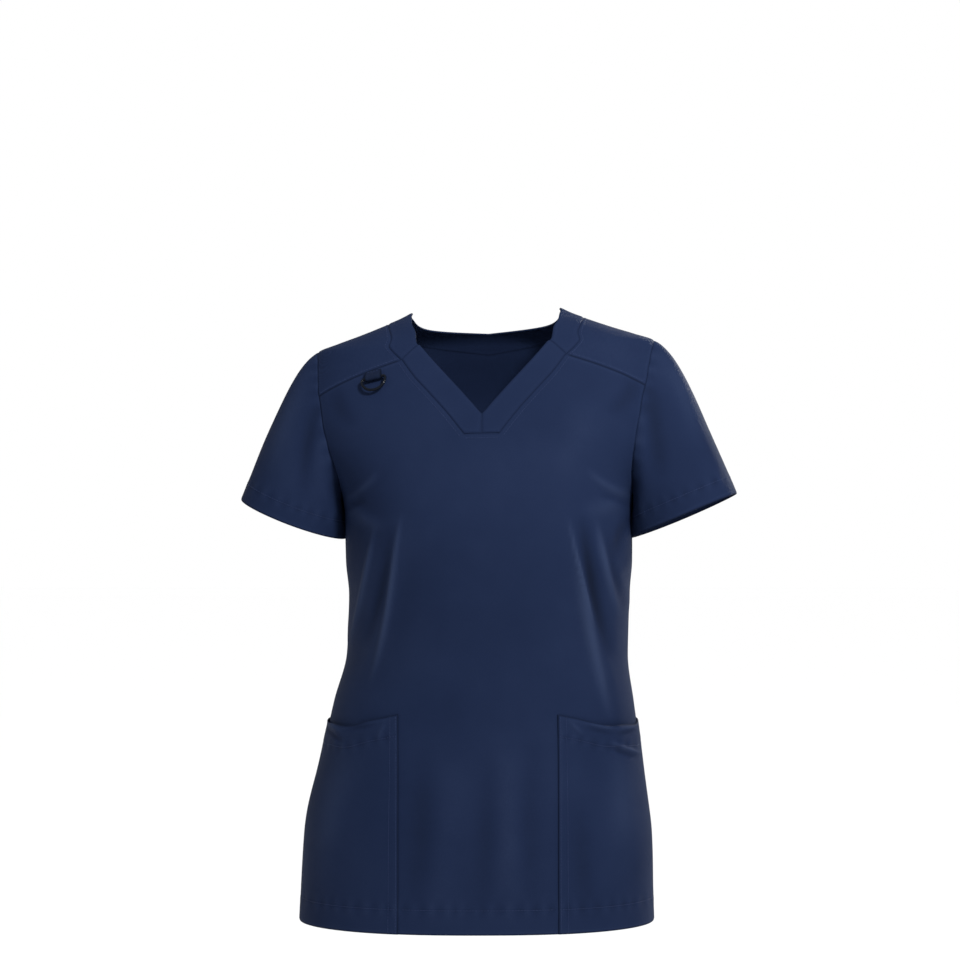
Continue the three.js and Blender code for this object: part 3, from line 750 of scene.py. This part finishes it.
# Neck band: two straight fronts that meet over the V, and one piece round the back of the neck.
# It is folded double, so it is thicker than a panel and stands a little above it.
BAND_CLOTH, BAND_PROUD, BAND_WIDE = 2.2, 0.5, 22
across = even(0, 1, 1 / 9)
foot = np.linspace(0, 1, 7)[:-1]
run = even(0, 1, 1 / 34)
edge_turn, edge_z = vee("edge", run)
seam_turn, seam_z = vee("seam", run)
edge_turn = np.concatenate([foot * edge_turn[0], edge_turn])
edge_z = np.concatenate([V_POINT + (edge_z[0] - V_POINT) * foot, edge_z])
seam_turn = np.concatenate([foot * seam_turn[0], seam_turn])
seam_z = np.concatenate([np.full(len(foot), seam_z[0]), seam_z])


def band_grid(side, edge, seam, measured):
    """Cloth between a band's finished edge and its seam. The weave is measured along one line of it."""
    turns, heights = (start[:, None] + (stop - start)[:, None] * across for start, stop in zip(edge, seam))
    points, ways = cloth(side * turns, heights, BAND_PROUD)
    along = arc(points[:, measured])[:, None]
    flat = 0 * along * across
    return facing(side, points, ways, np.stack([side * across * BAND_WIDE + flat, along + flat, flat], -1))


for side, node in ((-1, "band_front_right"), (1, "band_front_left")):
    grid = band_grid(side, (edge_turn, edge_z), (seam_turn, seam_z), 0)
    band = sew_piece(node, [grid], BAND_CLOTH, roll=0.6, seam=0.8)
    band.data.materials.append(NAVY)
    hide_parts(node)
    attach(band, "garment")

band_grids = [band_grid(side, neck("edge", yoke_run), neck("seam", yoke_run), -1) for side in (-1, 1)]
band = sew_piece("band_back", band_grids, BAND_CLOTH, roll=0.6, seam=0.8)
band.data.materials.append(NAVY)
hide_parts("band_back")
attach(band, "garment")


# Sleeves: short, set into the armholes and flared to the cuff, each one piece with a seam under
# the arm. Every line of a sleeve leaves the armhole along its own slope and ends at the cuff.
CUFF = dict(x=207, y=-6, z=-218, wide=58, deep=52, lean=22.2, tip_left=0.06, tip_right=-0.12, fold=19)
# The sleeve's seam allowance goes on past the armhole, a little under the panels
ALLOWANCE, UNDER_PANEL = 2.0, 1.4
# How steeply the cloth leaves the armhole, in degrees: at the sides, more on top, less under the arm.
# The cuff is tucked in a little under the arm.
SLOPE, SLOPE_TOP, SLOPE_UNDER, TUCK = 38, 26, 14, 3.6
# Sleeve creases: side, angle round the armhole and share of the length at both ends, width, height
CREASES = [
    [1, 62, 0.02, 104, 0.62, 9, -1.8],
    [1, 86, 0.0, 128, 0.42, 8, 0.8],
    [1, 118, 0.0, 150, 0.5, 8, -1.7],
    [1, 20, 0.1, 46, 0.8, 16, 1.6],
    [1, -58, 0.04, -100, 0.7, 10, -1.8],
    [1, -96, 0.0, -136, 0.5, 9, 1.8],
    [-1, 70, 0.02, 96, 0.8, 8, -2.0],
    [-1, 92, 0.0, 118, 0.62, 8, 0.6],
    [-1, 122, 0.0, 146, 0.5, 8, -1.8],
    [-1, 28, 0.08, 52, 0.85, 14, 1.5],
    [-1, -62, 0.04, -104, 0.7, 10, -1.8],
    [-1, -98, 0.0, -138, 0.5, 9, 1.8],
]


def sleeve_points(side, angle, share):
    """Places on a sleeve, by the angle round its armhole and the share of its length."""
    a = np.radians(angle)
    turn, z = armhole(angle, side)
    start = body(turn, z)
    lean = np.radians(CUFF["lean"])
    axis = np.array([np.sin(lean), -0.05, -np.cos(lean)])
    axis /= np.linalg.norm(axis)
    across = np.array([np.cos(lean), 0, np.sin(lean)])
    start = start + body_out(turn, z) * fold_height(start * np.array([side, 1, 1]))[..., None]
    low = ((1 - np.cos(a)) / 2) ** 4
    end = np.array([CUFF["x"], CUFF["y"], CUFF["z"]]) + across * (CUFF["wide"] * np.cos(a))[..., None]
    end[..., 1] -= CUFF["deep"] * np.sin(a)
    end[..., 2] -= CUFF["tip_right" if side < 0 else "tip_left"] * (end[..., 1] - CUFF["y"])
    end[..., 0] -= TUCK * low
    slope = np.radians(SLOPE + SLOPE_TOP * np.cos(a) - SLOPE_UNDER * low)
    leave = np.stack([np.sin(slope), -0.12 * np.sin(a), -np.cos(slope)], -1)
    leave /= np.linalg.norm(leave, axis=-1, keepdims=True)
    long = np.linalg.norm(end - start, axis=-1)
    second = start + leave * (long * (0.2 - 0.06 * np.cos(a)))[..., None]
    third = end - axis * (long * (0.45 + 0.18 * np.cos(a)))[..., None]
    t = np.asarray(share)[..., None]
    curve = (1 - t) ** 3 * start + 3 * t * (1 - t) ** 2 * second
    curve += 3 * t ** 2 * (1 - t) * third + t ** 3 * end
    return pose(curve * np.array([side, 1, 1]))


sleeves = {}
for side, node in ((-1, "sleeve_right"), (1, "sleeve_left")):
    angles = np.linspace(180, -179.9, 150)
    shares = even(0, 1, 1 / 58)
    points = sleeve_points(side, *np.broadcast_arrays(angles, shares[:, None]))
    around = np.gradient(points, axis=1)
    around[:, 0] = around[:, -1] = points[:, 1] - points[:, -2]
    ways = np.cross(around, np.gradient(points, axis=0)) * -side
    ways /= np.linalg.norm(ways, axis=-1, keepdims=True)
    hole_turn, hole_z = armhole(angles, side)
    under = cloth(side * hole_turn, hole_z)[1] * UNDER_PANEL
    leaving = points[2] - points[0]
    leaving /= np.linalg.norm(leaving, axis=-1, keepdims=True)
    points = np.concatenate([[points[0] - ALLOWANCE * leaving - under], points])
    ways = np.concatenate([ways[:1], ways])
    if side > 0:
        points, ways = points[::-1], ways[::-1]
    lift = np.zeros(points.shape[:2])
    for crease_side, angle_0, share_0, angle_1, share_1, wide, high in CREASES:
        if crease_side == side:
            t = np.linspace(0, 1, 60)
            line = sleeve_points(
                side, angle_0 + (angle_1 - angle_0) * t, share_0 + (share_1 - share_0) * t)
            off, along = near(points.reshape(-1, 3), line)
            swell = high * np.exp(-(off / wide) ** 2) * np.sin(np.pi * (0.06 + 0.94 * along / along.max()))
            lift += swell.reshape(lift.shape)
    points = points + ways * lift[..., None]
    # The creases' height is painted into the weave colour: highlight on crests, shade in troughs
    weave = grain_of(points, 0.6 * lift)
    weave[..., 1] = arc(points[:, len(angles) // 2])[:, None]
    cuff_line = sleeve_points(side, angles, 1 + 0 * angles)
    fine = np.linspace(0, 1, 80)
    columns = sleeve_points(side, *np.broadcast_arrays(angles, fine[:, None]))
    from_cuff = np.cumsum(np.linalg.norm(np.diff(columns[::-1], axis=0), axis=-1), axis=0)
    hem_share = 1 - np.array([np.interp(CUFF["fold"], column, fine[1:]) for column in from_cuff.T])
    cuff_stitch = sleeve_points(side, angles, hem_share)
    sleeve = sew_piece(
        node, [(points, ways, weave)], CLOTH,
        gathers=[(cuff_stitch, 6, 0.22, 15), (sleeve_points(side, angles, 0 * angles), 9, 0.2, 19)],
        bands=[(cuff_line, CUFF["fold"] + 1, 0.25)],
    )
    sleeve.data.materials.append(NAVY)
    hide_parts(node)
    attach(sleeve, "garment")
    sleeves[side] = (sleeve, cuff_stitch)


# Patch pockets: one on each side of the lower front, sewn in at the side seam, the hem and along
# the inner edge. The mouth dips a little and stands off the front.
POCKET_SEAT, MOUTH_FOLD = POCKET["clear"] + POCKET["cloth"], 22
# The mouth's edge waves up and down, and in and out down to a small depth
MOUTH_WAVE, GAPE_WAVE, GAPE_DEPTH = 1.3, 0.7, 34
# Small pocket folds near the mouth: side, both ends, half width and height
POCKET_FOLDS = [
    [1, 102, -427, 136, -436, 1.8, 1.2],
    [1, 100, -432, 132, -441, 2.0, -0.8],
    [1, 132, -436, 160, -435, 1.5, 1.1],
    [1, 134, -441, 158, -440, 1.6, -0.8],
    [1, 126, -447, 164, -465, 1.7, 1.7],
    [1, 124, -452, 160, -469, 2.1, -1.2],
    [1, 84, -424, 100, -440, 2.4, 0.8],
    [-1, -152, -432, -116, -424, 1.8, 1.4],
    [-1, -148, -437, -112, -429, 2.2, -1.0],
    [-1, -170, -428, -148, -440, 1.8, 1.5],
    [-1, -172, -434, -146, -450, 2.2, -1.2],
    [-1, -102, -424, -112, -446, 2.6, 0.7],
]
pockets = {}
for side, node in ((-1, "pocket_right"), (1, "pocket_left")):
    u = even(0, 1, 1 / 104)
    top = POCKET["top"] - POCKET["dip"] * np.sin(np.pi * u) - POCKET["side_drop"] * u
    top = top + MOUTH_WAVE * np.sin(2 * np.pi * (2.1 * u + 0.1 * side)) * np.sin(np.pi * u)
    up = even(0, 1, 1 / 140)[:, None]
    heights = HEM + (top - HEM) * up
    edge = pocket_share(heights, side)
    turns = 90 * (edge + (1 - edge) * u)
    gape = POCKET["gape"] * np.sin(np.pi * u) ** 2 * smoothstep(top - POCKET["mouth"], top, heights)
    wave = GAPE_WAVE * np.sin(2 * np.pi * (2.6 * u + 0.2 * side)) * np.sin(np.pi * u)
    gape = gape + (0.5 + wave) * smoothstep(top - GAPE_DEPTH, top, heights) * np.sin(np.pi * u)
    proud = POCKET_SEAT - 1.2 * smoothstep(0.95, 1, u)
    points, ways = cloth(side * turns, heights, proud + gape)
    folds = 0 * points[..., 0]
    for fold_side, x0, z0, x1, z1, wide, high in POCKET_FOLDS:
        if fold_side == side:
            folds += one_fold(points[..., 0], points[..., 2], x0, z0, x1, z1, 0, wide, high)
    folds *= 1 - smoothstep(0.88, 0.98, u)
    points = points + ways * folds[..., None]
    # The pocket's folds and the front's folds are painted into the weave colour as highlight and shade
    weave = grain_of(points, 0.9 * folds + folds_at(body(side * turns, heights + 0 * turns), WIDE_FOLD_PAINTED_LIGHT))
    weave[..., 0] *= side
    mouth, hem_line = points[-1], points[0]
    mouth_stitch = on_cloth(side * turns[-1], top - MOUTH_FOLD, POCKET_SEAT + gape[-1])
    hem_stitch = on_cloth(side * turns[0], HEM + HEM_FOLD, POCKET_SEAT)
    pocket = sew_piece(
        node, [facing(side, points, ways, weave)], POCKET["cloth"] - 0.1,
        gathers=[(mouth_stitch, 6, 0.2, 16), (hem_stitch, *HEM_PUCKER)],
        bands=[(mouth, MOUTH_FOLD, 0.2), (hem_line, HEM_FOLD, 0.2)],
    )
    pocket.data.materials.append(NAVY)
    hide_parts(node)
    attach(pocket, "garment")
    inner_rows = [
        on_cloth(side * (turns[:, 0] + shift), heights[:, 0], POCKET_SEAT) for shift in (0.8, 3.4)]
    pockets[side] = (pocket, mouth_stitch, hem_stitch, inner_rows)


# Ring and tape: a D bent from black metal wire, for a badge. Its straight bar turns in a tape that is
# folded over it and sewn down below the yoke seam at the right shoulder.
RING = dict(x=-113, z=-71, wire=3, radius=12.6, bend=2.5, drop=2.5, tilt=12, lift=3.7, rest=-3)
TAPE = dict(wide=17, thick=1, clear=0.45, up=9.5, spare=0.08)


def flat_spot(x, z):
    """A place on the shoulder without folds, which the ring is fitted to."""
    return pose(body(turn_at(x, z), z))


along_bar = flat_spot(RING["x"] + 2, RING["z"]) - flat_spot(RING["x"] - 2, RING["z"])
along_bar /= np.linalg.norm(along_bar)
downwards = flat_spot(RING["x"], RING["z"] - 2) - flat_spot(RING["x"], RING["z"] + 2)
ring_out = np.cross(downwards / np.linalg.norm(downwards), along_bar)
ring_out /= np.linalg.norm(ring_out)
along_bar = np.array(Matrix.Rotation(np.radians(RING["tilt"]), 3, Vector(ring_out)) @ Vector(along_bar))
ring_up = np.cross(ring_out, along_bar)
ring_centre = flat_spot(RING["x"], RING["z"]) + ring_out * RING["lift"]


def tube(name, lines, radius, sides, closed):
    """One mesh of round tubes along lines of places. Open ends are closed with a cap."""
    verts, faces = [], []
    for line in lines:
        line = np.asarray(line)
        ahead = np.roll(line, -1, axis=0) - np.roll(line, 1, axis=0)
        if not closed:
            ahead[0], ahead[-1] = line[1] - line[0], line[-1] - line[-2]
        ahead /= np.linalg.norm(ahead, axis=1, keepdims=True)
        first = np.cross(ahead, np.where(np.abs(ahead[:, 2:]) < 0.9, [[0, 0, 1.0]], [[0, 1.0, 0]]))
        first /= np.linalg.norm(first, axis=1, keepdims=True)
        second = np.cross(ahead, first)
        angle = 2 * np.pi * np.arange(sides) / sides
        size = np.broadcast_to(radius, (len(line),)) if np.ndim(radius) else np.full(len(line), radius)
        ring = first[:, None] * np.cos(angle)[:, None] + second[:, None] * np.sin(angle)[:, None]
        base = len(verts)
        verts += (line[:, None] + ring * size[:, None, None]).reshape(-1, 3).tolist()
        count = len(line)
        for i in range(count if closed else count - 1):
            a, b = base + i * sides, base + (i + 1) % count * sides
            faces += [(a + k, a + (k + 1) % sides, b + (k + 1) % sides, b + k) for k in range(sides)]
        if not closed:
            faces += [tuple(base + k for k in reversed(range(sides)))]
            faces += [tuple(base + (count - 1) * sides + k for k in range(sides))]
    piece = mesh_piece(name, verts, faces)
    piece.data.validate()
    return piece


radius, drop, bend = RING["radius"], RING["drop"], RING["bend"]
quarter = np.radians(np.linspace(180, 90, 9))
left_bend = np.stack([bend - radius + bend * np.cos(quarter), -bend + bend * np.sin(quarter)], -1)
bar = np.stack([np.linspace(bend - radius, radius - bend, 18), np.zeros(18)], -1)
right_bend = left_bend[::-1] * [-1, 1]
half = np.radians(np.linspace(0, -180, 40))
bow = np.stack([radius * np.cos(half), -drop + radius * np.sin(half)], -1)
loop = np.concatenate([left_bend, bar[1:-1], right_bend, bow])
rest = np.radians(RING["rest"])
wire = np.stack([loop[:, 0], loop[:, 1] * np.cos(rest), loop[:, 1] * np.sin(rest)], -1)
wire = ring_centre + wire @ np.stack([along_bar, ring_up, ring_out])
ring = tube("d_ring", [wire], RING["wire"] / 2 - 0.02, 16, True)
metal = Finish("black_metal")
scuff = Value(metal.node("ShaderNodeTexNoise", {}, {"Scale": 700.0, "Detail": 3.0}).outputs["Fac"])
metal.surface.inputs["Base Color"].default_value = colour(6, 9, 16)
metal.surface.inputs["Specular IOR Level"].default_value = 0.06
metal.put(metal.surface.inputs["Roughness"], scuff * 0.12 + 0.1)
ring.data.materials.append(metal.material)
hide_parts("d_ring")
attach(ring, "ring")

hole = RING["wire"] / 2 + TAPE["clear"]
middle = hole + TAPE["thick"] / 2
turnover = np.radians(np.linspace(270, 60, 22))
# The tape from its side: down behind the bar, round under it, and up in front until it lies on itself
side_view = np.concatenate([
    np.stack([np.linspace(TAPE["up"], 0.6, 8), np.full(8, -middle)], -1),
    np.stack([middle * np.cos(turnover), middle * np.sin(turnover)], -1),
    np.stack([np.linspace(2.4, TAPE["up"], 8), np.linspace(1.75, -middle + 1.1, 8)], -1),
])
wide = np.linspace(-TAPE["wide"] / 2, TAPE["wide"] / 2, 26)
points = (ring_centre + wide[None, :, None] * along_bar
          + side_view[:, None, :1] * ring_up + side_view[:, None, 1:] * ring_out)
ways = np.cross(np.gradient(points, axis=1), np.gradient(points, axis=0))
ways /= np.linalg.norm(ways, axis=-1, keepdims=True)
ways = ways if np.dot(ways[-3, 13], ring_out) > 0 else -ways
points = points + ways * (TAPE["thick"] / 2 - TAPE["spare"])
flat = 0 * side_view[:, :1] * wide
weave = np.stack([wide[None, :] + flat, arc(points[:, 0])[:, None] + flat, flat], -1)
tape = sew_piece("ring_loop", [(points, ways, weave)], TAPE["thick"] - 2 * TAPE["spare"], roll=0.25)
# The tape is the garment's navy twill, painted darker as shade
SHADED_TAPE_CLOTH = twill("navy_tape", colour(11, 18, 34), colour(19, 27, 47), colour(5, 10, 22))
tape.data.materials.append(SHADED_TAPE_CLOTH)
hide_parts("ring_loop")
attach(tape, "garment")


# Topstitching: rows of small stitches in navy thread, laid on the finished cloth along the hems,
# the pockets, the neck band and the yoke.
STITCH, STITCH_GAP, THREAD = 2.3, 0.8, 0.24
# A stitch at shares of its length: how far it lies off the cloth, and how thick its thread is there
STITCH_AT = np.array([0, 0.18, 0.5, 0.82, 1])
STITCH_RISE = [-0.12, 0.1, 0.16, 0.1, -0.12]
STITCH_ROUND = np.array([0.7, 1, 1, 1, 0.7])
# Rows beside the V lie this far outside its seam, measured square to it
BESIDE_VEE, SQUARE_X, SQUARE_Z = 5, 0.77, 0.64


def stitches_on(piece, lines):
    """Short lines of places, one for each stitch, lying on the outer cloth of a piece."""
    made = piece.data
    tree = BVHTree.FromPolygons([v.co / MM for v in made.vertices], [p.vertices for p in made.polygons])
    laid = []
    for line in lines:
        line = np.asarray(line)
        along = arc(line)
        for start in np.arange(1.0, along[-1] - STITCH, STITCH + STITCH_GAP):
            at = start + STITCH * STITCH_AT
            spots = np.stack([np.interp(at, along, line[:, k]) for k in range(3)], -1)
            stitch = []
            for spot, lift in zip(spots, STITCH_RISE):
                place, normal = tree.find_nearest(Vector(spot))[:2]
                stitch.append(place + normal * lift)
            laid.append(np.array(stitch))
    return laid


def beside_vee(side):
    run = np.linspace(0, 0.99, 60)
    x = read(VEE, "seam_x", "run", run) + SQUARE_X * BESIDE_VEE
    z = read(VEE, "seam_z", "run", run) - SQUARE_Z * BESIDE_VEE
    return on_cloth(side * turn_at(x, z), z)


foot_x = np.linspace(-VEE["seam_x"][0], VEE["seam_x"][0], 20)
below_foot = np.full(len(foot_x), foot_z - BESIDE_VEE)
foot_line = on_cloth(turn_at(foot_x, below_foot), below_foot)
right_edge, left_edge = (90 * float(pocket_share(HEM + HEM_FOLD, side)) for side in (-1, 1))
between_pockets = on_cloth(np.linspace(1 - right_edge, left_edge - 1, 120), HEM + HEM_FOLD)
rows = stitches_on(front, [beside_vee(-1), beside_vee(1), foot_line, between_pockets])
rows += stitches_on(back, [back_hem_stitch])
for side in (-1, 1):
    beside_neck, above_seam = yoke_place(side, 0.035), yoke_place(side, 0.97)
    first = len(ahead) + len(rear)
    t = np.linspace(0, 1, 60)
    front_seam = [inner + (outer - inner) * t for inner, outer in zip(
        neck("seam", 0.016), armhole(HOLE["yoke"] - 1.8, side))]
    rows += stitches_on(yoke, [
        on_cloth(side * beside_neck[0], beside_neck[1]),
        on_cloth(side * above_seam[0][first:], above_seam[1][first:]),
        on_cloth(side * front_seam[0], front_seam[1]),
    ])
    rows += stitches_on(sleeves[side][0], [sleeves[side][1]])
    pocket, mouth_stitch, hem_stitch, inner_rows = pockets[side]
    rows += stitches_on(pocket, [mouth_stitch, hem_stitch] + inner_rows)
rows += stitches_on(tape, [points[-3, 2:-2], points[-3:, 3], points[-3:, -4]])
topstitching = tube("topstitching", rows, STITCH_ROUND * THREAD, 6, False)
thread = Finish("navy_thread")
shade = Value(thread.node("ShaderNodeTexNoise", {}, {"Scale": 260.0, "Detail": 2.0}).outputs["Fac"])
mixed = thread.node("ShaderNodeValToRGB", {
    "stops": [(0.3, colour(20, 30, 56)), (0.7, colour(31, 41, 69))]}, {"Fac": shade})
thread.put(thread.surface.inputs["Base Color"], mixed.outputs["Color"])
thread.surface.inputs["Roughness"].default_value = 0.6
thread.surface.inputs["Specular IOR Level"].default_value = 0.1
topstitching.data.materials.append(thread.material)
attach(topstitching, "garment")
